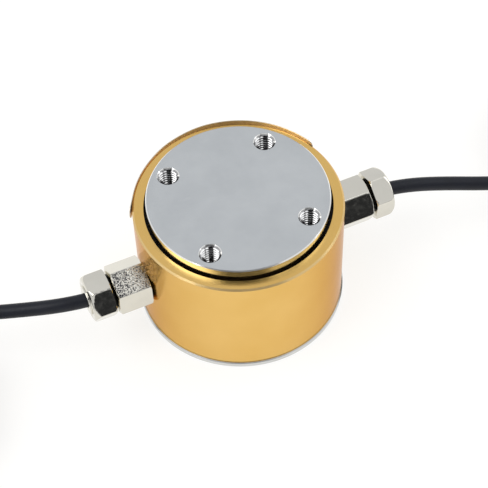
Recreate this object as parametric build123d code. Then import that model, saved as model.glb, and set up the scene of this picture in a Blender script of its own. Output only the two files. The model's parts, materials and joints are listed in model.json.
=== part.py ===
from build123d import *
import os
from math import cos, hypot, pi, radians, sin, sqrt, tan

# A round multi-axis force sensor: a ground steel load plate on a cross of four beams, inside an anodised sleeve
# with a cable gland on each side. Millimetres, Z up, origin at the centre of the underside, glands along X.

# Sleeve and base
sleeve_outer_d = 60.0
sleeve_wall = 3.2
sleeve_height = 36.0
sleeve_rim_chamfer = 0.5
sleeve_foot_chamfer = 0.3
flange_overhang = 0.4
flange_thickness = 1.8
flange_edge_chamfer = 0.25
base_thickness = 9.0
spigot_clearance = 0.05

# Load plate
load_plate_gap = 0.75
load_plate_thickness = 10.0
load_plate_rise = 3.4
load_plate_edge_chamfer = 0.3
boss_overhang = 0.5
boss_root_radius = 2.5

# Tapped holes for the customer's screws, the same square on both faces
mount_thread_d = 6.0
mount_countersink_d = 6.4
mount_thread_depth = 8.0
mount_drill_d = 5.0
mount_drill_point = 1.5
mount_spacing = 30.0
base_thread_depth = 7.0

# One-piece measuring body: a ring with four posts, each with a thin wall that holds the end of a beam
body_ring_clearance = 0.5
body_ring_height = 4.0
body_height = 13.0
post_half_width = 11.0
post_corner_radius = 1.0
thin_wall = 1.2
thin_wall_inset = 16.0
slot_width = 1.6
slot_length = 14.8
wall_end_relief = 0.5
beam_width = 4.5
beam_height = 5.0
beam_lift = 4.5
beam_root_radius = 2.0
beam_end_radius = 1.4
hub_d = 17.0
hub_lift = 2.0
hub_rise = 1.5

# Fasteners
hub_screw_d = 3.0
hub_screw_head_d = 5.5
hub_screw_head_height = 3.0
hub_screw_inset = 3.3
hub_screw_reach = 5.7
hub_screw_key = 2.5
hub_screw_key_depth = 1.4
hub_counterbore_depth = 3.2
hub_dowel_d = 2.0
hub_dowel_length = 8.0
hub_dowel_inset = 2.7
body_screw_d = 3.0
body_screw_head_d = 5.5
body_screw_length = 14.0
body_screw_inset = 4.3
body_screw_azimuth_offset = 19.0
body_screw_key = 2.0
body_screw_key_depth = 1.0
sleeve_screw_d = 2.0
sleeve_screw_head_d = 3.5
sleeve_screw_length = 6.0
sleeve_screw_inset = 1.75
sleeve_screw_count = 6
sleeve_screw_key = 1.3
sleeve_screw_key_depth = 0.6
head_sink = 0.1
screw_hole_clearance = 0.2
thread_run_out = 1.0
screw_tip_share = 0.125

# Seals
base_ring_groove_width = 1.7
base_ring_groove_depth = 1.1
base_ring_above_flange = 2.8
gap_seal_width = 2.0
gap_seal_depth = 1.2
gap_seal_below_rim = 2.2
seal_corner_radius = 0.35

# Bare strip wrapped round the back of the sleeve, standing above the rim
strip_thickness = 0.25
strip_height = 5.8
strip_above_rim = 1.7
strip_right_azimuth = 27.0
strip_left_azimuth = 149.0
strip_left_tail = 6.0
strip_right_tail = 3.4
strip_corner_radius = 1.8

# Gauges, board and inner wiring
gauge_length = 3.6
gauge_width = 2.4
gauge_thickness = 0.12
gauge_wall_distance = 3.6
board_thickness = 1.2
board_edge_distance = 1.3
board_boss_clearance = 2.5
board_notch_length = 6.0
board_notch_half_width = 6.4
board_screw_d = 2.0
board_screw_inset = 2.4
board_screw_length = 5.0
board_screw_head_d = 3.8
board_screw_head_height = 1.3
board_screw_slot = 0.5
resistor_size = (3.2, 1.6, 0.6)
resistor_inset = 7.5
resistor_azimuth_offset = 20.0
gauge_wire_d = 0.4
gauge_wire_spread = 0.8
gauge_wire_swing = 3.4
gauge_wire_bend = 0.7

# Cable glands
gland_axis_height = 19.1
gland_hex = 13.0
gland_body_length = 10.0
gland_body_chamfer = 0.7
gland_neck_exposed = 1.6
gland_stub_d = 8.0
gland_stub_inside = 3.6
gland_neck_d = 10.0
gland_nut_length = 6.4
gland_nut_hex_length = 4.0
gland_nut_grip = 3.4
gland_nut_face_d = 8.6
gland_nut_chamfer = 0.5
gland_nut_front = 0.8
gland_dome_bulge = 0.8
gland_seal_d = 7.4
gland_seal_length = 4.2
gland_seal_taper = 1.2
gland_clamp_thickness = 0.6
gland_clearance = 0.05
gland_bore_clearance = 0.2
left_body_turn, left_nut_turn = 8.0, 32.0
right_body_turn, right_nut_turn = 30.0, -5.0

# Cable
cable_d = 4.25
cable_inner_overhang = 0.2
core_d = 0.9
core_circle_r = 1.15
core_count = 6
core_landing_order = (5, 4, 1, 0, 2, 3)
core_tip_d = 0.55
core_tip_length = 4.0
inner_core_bend = 0.8
inner_core_rise = 2.2
inner_core_reach = 6.2
inner_core_pitch = 1.3
inner_core_lead = 0.5
inner_core_gather = 3.2
inner_core_turn_drop = 1.1
shrink_wall = 0.45
shrink_length = 8.0
shrink_overhang = 1.5

# Coil of the put-away length: three turns wide and four high, held by two ties
coil_mean_r = 23.0
coil_turns_wide = 3
coil_turns_high = 4
coil_corner_radius = 1.8
coil_stub_length = 20.0
coil_stub_inset = 0.25
coil_tail_length = 23.5
cord_bend_share = 0.45
tie_thickness = 0.8
tie_width = 4.0
tie_azimuths = (0.0, 180.0)

# Where each cable runs from its gland to its coil, chosen by hand from the photograph
left_route = [(-48.0, 0.0, 19.1), (-56.0, 1.8, 18.8), (-65.0, 5.8, 17.2), (-75.0, 10.1, 16.1), (-84.0, 14.0, 15.8)]
right_route = [
    (48.0, 0.0, 19.1), (56.4, -1.5, 18.4), (66.0, -4.2, 16.9), (76.5, -8.4, 15.9), (87.6, -12.8, 15.8),
    (95.0, -16.1, 15.7),
]

# Routes of the six free cores, from the end of the jacket: along the cable, to its left and up
core_routes = [
    [(0.1, 1.15, 0.0), (7.5, 2.3, -0.9), (18.0, 5.6, -2.45), (30.5, 9.6, -2.45)],
    [(0.1, 0.575, 0.996), (7.5, 1.1, 0.4), (18.0, 3.7, -2.45), (31.5, 6.2, -2.45)],
    [(0.1, -0.575, 0.996), (7.5, -1.2, 0.4), (18.0, -2.3, -2.45), (31.0, -3.0, -2.45)],
    [(0.1, -1.15, 0.0), (7.5, -2.2, -0.9), (18.0, -4.0, -2.45), (30.0, -5.4, -2.45)],
    [(0.1, -0.575, -0.996), (7.5, -0.7, -1.6), (18.0, -0.4, -2.45), (30.5, 0.2, -2.45)],
    [(0.1, 0.575, -0.996), (7.5, 0.8, -1.6), (18.0, 1.6, -2.45), (31.5, 3.2, -2.45)],
]
core_colours = ("red", "black", "green", "white", "yellow", "blue")

# Heights and radii that follow from the sizes above
sleeve_r = sleeve_outer_d / 2
bore_r = sleeve_r - sleeve_wall
spigot_r = bore_r - spigot_clearance
flange_r = sleeve_r + flange_overhang
load_plate_r = bore_r - load_plate_gap
sleeve_bottom = flange_thickness
sleeve_top = sleeve_bottom + sleeve_height
base_ring_height = flange_thickness + base_ring_above_flange
plate_top = sleeve_top + load_plate_rise
plate_bottom = plate_top - load_plate_thickness
body_bottom = base_thickness
post_top = body_bottom + body_height
beam_bottom = body_bottom + beam_lift
beam_top = beam_bottom + beam_height
hub_bottom = body_bottom + hub_lift
hub_top = post_top + hub_rise
body_ring_r = bore_r - body_ring_clearance
body_screw_circle_r = body_ring_r - body_screw_inset
hub_r = hub_d / 2
boss_r = hub_r + boss_overhang
hub_screw_circle_r = hub_r - hub_screw_inset
hub_dowel_circle_r = hub_r - hub_dowel_inset
gauge_place = thin_wall_inset - gauge_wall_distance
slot_outer_x = thin_wall_inset + thin_wall + slot_width
board_bottom = post_top
board_top = board_bottom + board_thickness
board_outer_r = body_ring_r - board_edge_distance
board_screw_circle_r = board_outer_r - board_screw_inset
resistor_circle_r = board_outer_r - resistor_inset
mount_circle_r = mount_spacing / sqrt(2)
sleeve_screw_circle_r = sleeve_r - sleeve_screw_inset
gland_body_end = sleeve_r + gland_body_length
gland_nut_start = gland_body_end + gland_neck_exposed
gland_exit = gland_nut_start + gland_nut_length
gland_stub_start = bore_r - gland_stub_inside
cable_inner_end = gland_stub_start - cable_inner_overhang
seal_end = gland_nut_start + gland_nut_grip + gland_seal_taper
seal_start = seal_end - gland_seal_length
gland_bore_r = cable_d / 2 + gland_bore_clearance
coil_width = coil_turns_wide * cable_d
coil_height = coil_turns_high * cable_d
coil_outer_turn_r = coil_mean_r + (coil_width - cable_d) / 2
coil_stub_r = coil_outer_turn_r - coil_stub_inset
tail_z = tie_thickness + cable_d / 2 + coil_stub_inset / 4
diagonals = (45.0, 135.0, 225.0, 315.0)
quarters = (0.0, 90.0, 180.0, 270.0)


def turned(points):
    # A solid of revolution about Z from points (radius, height)
    return revolve(Plane.XZ * make_face(Polyline(*points, close=True)), Axis.Z)


def around(azimuth, radius, height=0.0):
    # A place on a circle about Z, with its own X pointing outwards
    return Rot(0, 0, azimuth) * Pos(radius, 0, height)


def upright(radius, length):
    # A cylinder that stands on the XY plane
    return extrude(Circle(radius), length)


def hexagon(across_flats, turn=0.0):
    return RegularPolygon(across_flats / 2, 6, major_radius=False, rotation=turn)


def countersunk_screw(diameter, head_d, length, key, key_depth):
    # Head face on the XY plane, shank upwards
    head_height = (head_d - diameter) / 2
    tip = diameter * screw_tip_share
    body = turned([
        (0, 0), (head_d / 2, 0), (diameter / 2, head_height), (diameter / 2, length - tip),
        (diameter / 2 - tip, length), (0, length),
    ])
    return body - extrude(hexagon(key), key_depth)


def countersunk_hole(diameter, head_d, depth):
    # Sunk by head_sink, so that the screw's cone seats in it
    mouth_r = head_d / 2 + head_sink
    hole_r = (diameter + screw_hole_clearance) / 2
    return turned([(0, 0), (mouth_r, 0), (hole_r, mouth_r - hole_r), (hole_r, depth), (0, depth)])


def tapped_mount_hole(depth):
    # Mouth on the XY plane and bored upwards, ending in a drill point
    r = mount_thread_d / 2
    rim = mount_countersink_d / 2
    return turned([
        (0, 0), (rim, 0), (r, rim - r), (r, depth), (mount_drill_d / 2, depth), (0, depth + mount_drill_point),
    ])


def make_base_plate():
    groove_low = base_ring_height - base_ring_groove_width / 2
    groove_high = base_ring_height + base_ring_groove_width / 2
    groove_r = spigot_r - base_ring_groove_depth
    c = flange_edge_chamfer
    plate = turned([
        (0, 0), (flange_r - c, 0), (flange_r, c), (flange_r, flange_thickness - c), (flange_r - c, flange_thickness),
        (spigot_r, flange_thickness), (spigot_r, groove_low), (groove_r, groove_low), (groove_r, groove_high),
        (spigot_r, groove_high), (spigot_r, base_thickness - c), (spigot_r - c, base_thickness), (0, base_thickness),
    ])
    for azimuth in diagonals:
        plate -= around(azimuth, mount_circle_r) * tapped_mount_hole(base_thread_depth)
    for azimuth in body_screw_azimuths():
        plate -= around(azimuth, body_screw_circle_r) * countersunk_hole(
            body_screw_d, body_screw_head_d, base_thickness)
    for azimuth in sleeve_screw_azimuths():
        plate -= around(azimuth, sleeve_screw_circle_r) * countersunk_hole(
            sleeve_screw_d, sleeve_screw_head_d, flange_thickness)
    return plate


def body_screw_azimuths():
    return [a + side * body_screw_azimuth_offset for a in diagonals for side in (-1, 1)]


def sleeve_screw_azimuths():
    step = 360 / sleeve_screw_count
    return [step / 2 + k * step for k in range(sleeve_screw_count)]


def make_outer_sleeve():
    c, f = sleeve_rim_chamfer, sleeve_foot_chamfer
    sleeve = turned([
        (bore_r, sleeve_bottom), (sleeve_r - f, sleeve_bottom), (sleeve_r, sleeve_bottom + f),
        (sleeve_r, sleeve_top - c), (sleeve_r - c, sleeve_top), (bore_r, sleeve_top),
    ])
    gland_hole = Pos(-sleeve_outer_d, 0, gland_axis_height) * Rot(0, 90, 0) * upright(
        gland_stub_d / 2 + gland_clearance, 2 * sleeve_outer_d)
    sleeve -= gland_hole
    depth = sleeve_screw_length + head_sink + thread_run_out - flange_thickness
    for azimuth in sleeve_screw_azimuths():
        sleeve -= around(azimuth, sleeve_screw_circle_r, sleeve_bottom) * upright(sleeve_screw_d / 2, depth)
    return sleeve


def make_load_plate():
    plate_r, c = load_plate_r, load_plate_edge_chamfer
    groove_high = sleeve_top - gap_seal_below_rim
    groove_low = groove_high - gap_seal_width
    groove_r = plate_r - gap_seal_depth
    disc = turned([
        (0, plate_bottom), (plate_r - c, plate_bottom), (plate_r, plate_bottom + c), (plate_r, groove_low),
        (groove_r, groove_low), (groove_r, groove_high), (plate_r, groove_high), (plate_r, plate_top - c),
        (plate_r - c, plate_top), (0, plate_top),
    ])
    root = boss_root_radius
    outline = Polyline((0, plate_bottom), (0, hub_top), (boss_r, hub_top), (boss_r, plate_bottom - root))
    outline += RadiusArc((boss_r, plate_bottom - root), (boss_r + root, plate_bottom), -root)
    outline += Line((boss_r + root, plate_bottom), (0, plate_bottom))
    plate = disc + revolve(Plane.XZ * make_face(outline), Axis.Z)
    for azimuth in diagonals:
        plate -= around(azimuth, mount_circle_r, plate_top) * Rot(180, 0, 0) * tapped_mount_hole(mount_thread_depth)
    for azimuth in quarters:
        plate -= around(azimuth, hub_screw_circle_r, hub_top) * upright(
            hub_screw_d / 2, hub_screw_reach + thread_run_out)
    for azimuth in hub_dowel_azimuths():
        plate -= around(azimuth, hub_dowel_circle_r, hub_top) * upright(hub_dowel_d / 2, hub_dowel_length / 2)
    return plate


def hub_dowel_azimuths():
    return diagonals[0], diagonals[2]


def rounded_inner_corners(sketch, distance, radius):
    # Rounds the sketch's corners that lie at one distance from the centre
    near = [v for v in sketch.vertices() if abs(hypot(v.X, v.Y) - distance) < radius / 10]
    return fillet(near, radius)


def make_measuring_body():
    ring = Circle(body_ring_r) - Circle(slot_outer_x)
    body = Pos(0, 0, body_bottom) * extrude(ring, body_ring_height)

    post_length = body_ring_r - thin_wall_inset
    post = Pos(thin_wall_inset + post_length / 2, 0) * Rectangle(post_length, 2 * post_half_width)
    post &= Circle(body_ring_r)
    post = fillet(post.vertices(), post_corner_radius)
    slot_centre = thin_wall_inset + thin_wall + slot_width / 2
    slot = Pos(slot_centre, 0) * SlotOverall(slot_length, slot_width, rotation=90)
    for azimuth in diagonals:
        body += Rot(0, 0, azimuth) * Pos(0, 0, body_bottom) * extrude(post, body_height)
        body -= Rot(0, 0, azimuth) * Pos(0, 0, body_bottom) * extrude(slot, body_height)

    # The thin walls and their beams stand clear of the base and of the board, so that they can bend
    relief = upright(slot_outer_x, wall_end_relief)
    body -= Pos(0, 0, body_bottom) * relief
    body -= Pos(0, 0, post_top - wall_end_relief) * relief

    cross = Circle(hub_r)
    wall_width = slot_length - slot_width
    for azimuth in diagonals:
        cross += Rot(0, 0, azimuth) * Pos(thin_wall_inset / 2, 0) * Rectangle(thin_wall_inset, beam_width)
        cross += Rot(0, 0, azimuth) * Pos(thin_wall_inset + thin_wall / 2, 0) * Rectangle(thin_wall, wall_width)
    cross = rounded_inner_corners(cross, hub_r, beam_root_radius)
    cross = rounded_inner_corners(cross, hypot(thin_wall_inset, beam_width / 2), beam_end_radius)
    body += Pos(0, 0, beam_bottom) * extrude(cross, beam_height)
    body += Pos(0, 0, hub_bottom) * upright(hub_r, hub_top - hub_bottom)

    for azimuth in quarters:
        place = around(azimuth, hub_screw_circle_r, hub_bottom)
        body -= place * upright((hub_screw_d + screw_hole_clearance) / 2, hub_top - hub_bottom)
        body -= place * upright((hub_screw_head_d + screw_hole_clearance) / 2, hub_counterbore_depth)
    for azimuth in hub_dowel_azimuths():
        depth = hub_dowel_length / 2
        body -= around(azimuth, hub_dowel_circle_r, hub_top - depth) * upright(hub_dowel_d / 2, depth)
    thread_depth = body_screw_length + head_sink - base_thickness + thread_run_out
    for azimuth in body_screw_azimuths():
        body -= around(azimuth, body_screw_circle_r, body_bottom) * upright(body_screw_d / 2, thread_depth)
    board_depth = board_screw_length - board_thickness + thread_run_out
    for azimuth in diagonals:
        body -= around(azimuth, board_screw_circle_r, post_top - board_depth) * upright(
            board_screw_d / 2, board_depth)
    return body


def make_hub_screws():
    # Cap screws from below, with their heads in the hub's counterbores
    shank_end = hub_top + hub_screw_reach
    seat = hub_bottom + hub_counterbore_depth
    r = hub_screw_d / 2
    screw = Pos(0, 0, seat - hub_screw_head_height) * upright(hub_screw_head_d / 2, hub_screw_head_height)
    screw += Pos(0, 0, seat) * upright(r, shank_end - seat)
    screw -= Pos(0, 0, seat - hub_screw_head_height) * extrude(hexagon(hub_screw_key), hub_screw_key_depth)
    return [around(azimuth, hub_screw_circle_r) * screw for azimuth in quarters]


def make_hub_dowels():
    dowel = Pos(0, 0, hub_top - hub_dowel_length / 2) * upright(hub_dowel_d / 2, hub_dowel_length)
    return [around(azimuth, hub_dowel_circle_r) * dowel for azimuth in hub_dowel_azimuths()]


def make_body_screws():
    screw = countersunk_screw(
        body_screw_d, body_screw_head_d, body_screw_length, body_screw_key, body_screw_key_depth)
    return [around(azimuth, body_screw_circle_r, head_sink) * screw for azimuth in body_screw_azimuths()]


def make_sleeve_screws():
    screw = countersunk_screw(
        sleeve_screw_d, sleeve_screw_head_d, sleeve_screw_length, sleeve_screw_key, sleeve_screw_key_depth)
    return [around(azimuth, sleeve_screw_circle_r, head_sink) * screw for azimuth in sleeve_screw_azimuths()]


def make_base_ring():
    # An O-ring, shown squeezed between its groove and the sleeve's bore
    inner = spigot_r - base_ring_groove_depth
    width = base_ring_groove_width
    section = Pos((inner + bore_r) / 2, base_ring_height) * RectangleRounded(
        bore_r - inner, width, seal_corner_radius)
    return revolve(Plane.XZ * section, Axis.Z)


def make_gap_seal():
    # A soft ring that keeps dust out of the gap, below the rim
    inner = load_plate_r - gap_seal_depth
    middle = sleeve_top - gap_seal_below_rim - gap_seal_width / 2
    section = Pos((inner + bore_r) / 2, middle) * RectangleRounded(bore_r - inner, gap_seal_width, seal_corner_radius)
    return revolve(Plane.XZ * section, Axis.Z)


def make_rear_strip():
    # Follows the sleeve behind the glands and comes away from it at both ends
    start = radians(strip_right_azimuth)
    end = radians(strip_left_azimuth)

    def at(radius, angle, along=0.0):
        return (radius * cos(angle) - along * sin(angle), radius * sin(angle) + along * cos(angle))

    outer_r = sleeve_r + strip_thickness
    outline = RadiusArc(at(sleeve_r, start), at(sleeve_r, end), -sleeve_r)
    outline += Polyline(
        at(sleeve_r, end), at(sleeve_r, end, strip_left_tail), at(outer_r, end, strip_left_tail), at(outer_r, end))
    outline += RadiusArc(at(outer_r, end), at(outer_r, start), outer_r)
    outline += Polyline(
        at(outer_r, start), at(outer_r, start, -strip_right_tail), at(sleeve_r, start, -strip_right_tail),
        at(sleeve_r, start))
    bottom = sleeve_top + strip_above_rim - strip_height
    strip = Pos(0, 0, bottom) * extrude(make_face(outline), strip_height)
    # Only the four corners are as short as the strip is thick
    corners = [e for e in strip.edges() if abs(e.length - strip_thickness) < strip_thickness / 100]
    return fillet(corners, strip_corner_radius)


def make_board():
    board = Circle(board_outer_r) - Circle(boss_r + board_boss_clearance)
    for azimuth in (0, 180):
        board -= Rot(0, 0, azimuth) * Pos(board_outer_r - board_notch_length / 2, 0) * Rectangle(
            board_notch_length, 2 * board_notch_half_width)
    for azimuth in diagonals:
        board -= Rot(0, 0, azimuth) * Pos(board_screw_circle_r, 0) * Circle(
            (board_screw_d + screw_hole_clearance) / 2)
    return Pos(0, 0, board_bottom) * extrude(board, board_thickness)


def make_board_screws():
    screw = Pos(0, 0, board_top - board_screw_length) * upright(board_screw_d / 2, board_screw_length)
    screw += Pos(0, 0, board_top) * upright(board_screw_head_d / 2, board_screw_head_height)
    slot = extrude(Rectangle(board_screw_head_d, board_screw_slot), board_screw_slot)
    screw -= Pos(0, 0, board_top + board_screw_head_height - board_screw_slot) * slot
    return [around(azimuth, board_screw_circle_r) * screw for azimuth in diagonals]


def make_resistors():
    length, width, height = resistor_size
    chip = extrude(Rectangle(width, length), height)
    places = [a + side * resistor_azimuth_offset for a in diagonals for side in (-1, 1)]
    return [around(azimuth, resistor_circle_r, board_top) * chip for azimuth in places]


def make_vertical_gauges():
    # Foil on the top and the underside of each beam
    foil = extrude(Rectangle(gauge_length, gauge_width), gauge_thickness)
    heights = (beam_top, beam_bottom - gauge_thickness)
    return [around(azimuth, gauge_place, z) * foil for azimuth in diagonals for z in heights]


def make_lateral_gauges():
    # Foil on both flanks of each beam
    foil = extrude(Rectangle(gauge_length, gauge_thickness), gauge_width)
    low = beam_bottom + (beam_height - gauge_width) / 2
    offset = (beam_width + gauge_thickness) / 2
    return [around(azimuth, gauge_place, low) * Pos(0, side * offset, 0) * foil
            for azimuth in diagonals for side in (-1, 1)]


def wire(points, diameter, bend):
    path = FilletPolyline(*points, radius=bend)
    return sweep(Plane(path @ 0, z_dir=path % 0) * Circle(diameter / 2), path)


def make_gauge_wires():
    # From the upper gauges straight up to the board, and from the lower ones round the beam
    wires = []
    x = gauge_place + gauge_length / 4
    top = beam_top + gauge_thickness
    low = beam_bottom - gauge_thickness
    drop = low - 2 * gauge_wire_bend
    for azimuth in diagonals:
        for side in (-1, 1):
            upper = Pos(x, side * gauge_wire_spread, top) * upright(gauge_wire_d / 2, board_bottom - top)
            lower = wire([
                (x, side * gauge_wire_spread, low), (x, side * gauge_wire_spread, drop),
                (x, side * gauge_wire_swing, drop), (x, side * gauge_wire_swing, board_bottom),
            ], gauge_wire_d, gauge_wire_bend)
            wires += [Rot(0, 0, azimuth) * upper, Rot(0, 0, azimuth) * lower]
    return wires


def on_gland_axis(side):
    # Z runs outwards along the gland, from the sensor's axis, and X points to the front
    return Location(Plane(origin=(0, 0, gland_axis_height), x_dir=(0, -1, 0), z_dir=(side, 0, 0)))


def facet_turn(side, normal_angle):
    # A facet's direction is counted from the front, upwards, as it is seen from the left
    return -side * normal_angle - 30


def gland_body(side, normal_angle):
    corner_r = gland_hex / sqrt(3)
    c = gland_body_chamfer
    hexagonal = Pos(0, 0, sleeve_r) * extrude(hexagon(gland_hex, facet_turn(side, normal_angle)), gland_body_length)
    hexagonal &= turned([
        (0, sleeve_r), (corner_r, sleeve_r), (corner_r, gland_body_end - c), (corner_r - 2 * c, gland_body_end),
        (0, gland_body_end),
    ])
    body = hexagonal + Pos(0, 0, gland_stub_start) * upright(gland_stub_d / 2, sleeve_r - gland_stub_start)
    neck_end = gland_nut_start + gland_nut_grip
    body += Pos(0, 0, gland_body_end) * upright(gland_neck_d / 2, neck_end - gland_body_end)
    body -= turned([
        (0, gland_stub_start), (gland_bore_r, gland_stub_start), (gland_bore_r, seal_start),
        (gland_seal_d / 2, seal_start), (gland_seal_d / 2, neck_end), (0, neck_end),
    ])
    return on_gland_axis(side) * body


def gland_seal(side):
    r = gland_seal_d / 2
    taper_start = seal_end - gland_seal_taper
    seal = turned([
        (cable_d / 2, seal_start), (r, seal_start), (r, taper_start), (r - gland_seal_taper, seal_end),
        (cable_d / 2, seal_end),
    ])
    return on_gland_axis(side) * seal


def gland_clamp(side):
    # A thin washer between the seal's nose and the nut, so that the nut doesn't twist the seal
    r = gland_seal_d / 2
    taper_start = seal_end - gland_seal_taper
    slant = gland_clamp_thickness * sqrt(2)
    washer = turned([
        (r, taper_start), (r, taper_start + slant), (r - gland_seal_taper, seal_end + slant),
        (gland_bore_r, seal_end + slant), (gland_bore_r, seal_end), (r - gland_seal_taper, seal_end),
    ])
    return on_gland_axis(side) * washer


def gland_nut(side, normal_angle):
    corner_r = gland_hex / sqrt(3)
    c = gland_nut_chamfer
    start, end = gland_nut_start, gland_exit
    dome_start = start + gland_nut_hex_length
    face_r = gland_nut_face_d / 2
    front = end - gland_nut_front
    outline = Polyline((0, end), (0, start), (corner_r - c, start), (corner_r, start + c / 2), (corner_r, dome_start))
    middle = ((corner_r + face_r) / 2 + gland_dome_bulge, (dome_start + front) / 2 + gland_dome_bulge)
    outline += ThreePointArc((corner_r, dome_start), middle, (face_r, front))
    outline += Polyline((face_r, front), (face_r, end), (0, end))
    shell = Pos(0, 0, start) * extrude(hexagon(gland_hex, facet_turn(side, normal_angle)), gland_nut_length)
    shell &= revolve(Plane.XZ * make_face(outline), Axis.Z)
    thread_r = gland_neck_d / 2 + gland_clearance
    neck_end = start + gland_nut_grip
    slant = gland_clamp_thickness * sqrt(2)
    washer_r = gland_seal_d / 2
    nose_r = washer_r - gland_seal_taper
    shell -= turned([
        (0, start), (thread_r, start), (thread_r, neck_end), (washer_r, neck_end),
        (washer_r, neck_end + slant), (nose_r, seal_end + slant), (gland_bore_r, seal_end + slant),
        (gland_bore_r, end), (0, end),
    ])
    return on_gland_axis(side) * shell


def cable_entry(side):
    # The cable's jacket from the gland's mouth through the seal, and a little way inside
    return on_gland_axis(side) * Pos(0, 0, cable_inner_end) * upright(cable_d / 2, gland_exit - cable_inner_end)


def core_offsets():
    return [(core_circle_r * cos(2 * pi * k / core_count), core_circle_r * sin(2 * pi * k / core_count))
            for k in range(core_count)]


def inner_cores(side):
    # The cores leave the jacket, climb through the board's notch and end on its top, side by side
    x_in = cable_inner_end - inner_core_gather
    x_board = cable_inner_end - inner_core_reach
    turn_z = board_bottom - inner_core_turn_drop
    cores = []
    for (y, z), place in zip(core_offsets(), core_landing_order):
        y_out = (place - (core_count - 1) / 2) * inner_core_pitch
        points = [
            (cable_inner_end, y, gland_axis_height + z),
            (cable_inner_end - inner_core_lead, y, gland_axis_height + z), (x_in, y_out, turn_z),
            (x_in, y_out, board_top + inner_core_rise), (x_board, y_out, board_top + inner_core_rise),
            (x_board, y_out, board_top),
        ]
        cores.append(wire(points, core_d, inner_core_bend))
    if side < 0:
        cores = [Rot(0, 0, 180) * core for core in cores]
    return cores


def cord_radii(points):
    # Each arc is as large as its two runs allow
    vectors = [Vector(*b) - Vector(*a) for a, b in zip(points, points[1:])]
    radii = []
    for before, after in zip(vectors, vectors[1:]):
        half_turn = radians(before.get_angle(after)) / 2
        radii.append(cord_bend_share * min(before.length, after.length) / tan(half_turn))
    return radii


def cord_tube(name, points, diameter):
    radii = cord_radii(points)
    path = FilletPolyline(*points, radius=radii)
    tube = sweep(Plane(path @ 0, z_dir=path % 0) * Circle(diameter / 2), path)
    share = tube.volume / (pi * diameter ** 2 / 4 * path.length)
    print(f"{name}: length {path.length:.1f}, radii {[round(r, 1) for r in radii]}, volume share {share:.4f}")
    return tube


def compass(azimuth):
    return Vector(cos(radians(azimuth)), sin(radians(azimuth)), 0)


def last_run(route):
    return (Vector(*route[-1]) - Vector(*route[-2])).normalized()


def exit_azimuth(route):
    # The coil's free end heads away from the sensor
    return 270 if route[-1][0] > 0 else 90


def coil_centre(route):
    # The cable meets the outer turn a stub's length past the end of its route, and turns left
    forward = last_run(route)
    inwards = Vector(-forward.Y, forward.X, 0).normalized()
    centre = Vector(*route[-1]) + forward * coil_stub_length + inwards * coil_stub_r
    return Vector(centre.X, centre.Y, 0)


def coil_section(margin):
    middle = Pos(coil_mean_r, tie_thickness + coil_height / 2)
    return middle * RectangleRounded(
        coil_width + 2 * margin, coil_height + 2 * margin, coil_corner_radius + margin)


def tail_plane(route):
    # Where the cable leaves the lowest turn: Z along the cable and X to its left
    azimuth = exit_azimuth(route)
    start = coil_centre(route) + compass(azimuth) * coil_stub_r
    return Plane(Vector(start.X, start.Y, tail_z), x_dir=compass(azimuth + 180), z_dir=compass(azimuth + 90))


def jacket_end(route):
    return tail_plane(route).offset(coil_tail_length)


def make_coil(route):
    # The outer shape of the turns, with the first and the last stretch of cable standing out of it
    ring = Pos(coil_centre(route)) * revolve(Plane.XZ * coil_section(0), Axis.Z)
    stub = Plane(Vector(*route[-1]), z_dir=last_run(route)).location * upright(cable_d / 2, coil_stub_length)
    tail = tail_plane(route).location * upright(cable_d / 2, coil_tail_length)
    return ring + stub + tail


def make_ties(route):
    # Each tie goes once round the bundle
    arc = tie_width / coil_mean_r * 180 / pi
    band = revolve(Plane.XZ * (coil_section(tie_thickness) - coil_section(0)), Axis.Z, arc)
    return [Pos(coil_centre(route)) * Rot(0, 0, azimuth - arc / 2) * band for azimuth in tie_azimuths]


def make_shrink_sleeve(route):
    inner = cable_d / 2
    section = Circle(inner + shrink_wall) - Circle(inner)
    sleeve = Pos(0, 0, shrink_overhang - shrink_length) * extrude(section, shrink_length)
    return jacket_end(route).location * sleeve


def core_points(route, core):
    end = jacket_end(route)
    return [tuple(end.from_local_coords(Vector(left, up, along))) for along, left, up in core]


def make_core_tips(route):
    tips = []
    for core in core_routes:
        before, last = [Vector(*p) for p in core_points(route, core)[-2:]]
        tips.append(Plane(last, z_dir=last - before).location * upright(core_tip_d / 2, core_tip_length))
    return tips


def save(name, solids):
    shape = Compound(children=solids) if isinstance(solids, list) else solids
    export_step(shape, f"parts/{name}.step")


def save_cable(side_name, side, body_turn, nut_turn, route):
    save(f"{side_name}_gland_body", gland_body(side, body_turn))
    save(f"{side_name}_gland_seal", gland_seal(side))
    save(f"{side_name}_gland_clamp", gland_clamp(side))
    save(f"{side_name}_gland_nut", gland_nut(side, nut_turn))
    save(f"{side_name}_cable_entry", cable_entry(side))
    save(f"{side_name}_inner_cores", inner_cores(side))
    save(f"{side_name}_cable", cord_tube(f"{side_name}_cable", route, cable_d) - cable_entry(side))
    save(f"{side_name}_cable_coil", make_coil(route))
    save(f"{side_name}_coil_ties", make_ties(route))
    save(f"{side_name}_shrink_sleeve", make_shrink_sleeve(route))
    for colour, core in zip(core_colours, core_routes):
        name = f"{side_name}_core_{colour}"
        save(name, cord_tube(name, core_points(route, core), core_d))
    save(f"{side_name}_core_tips", make_core_tips(route))


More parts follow.
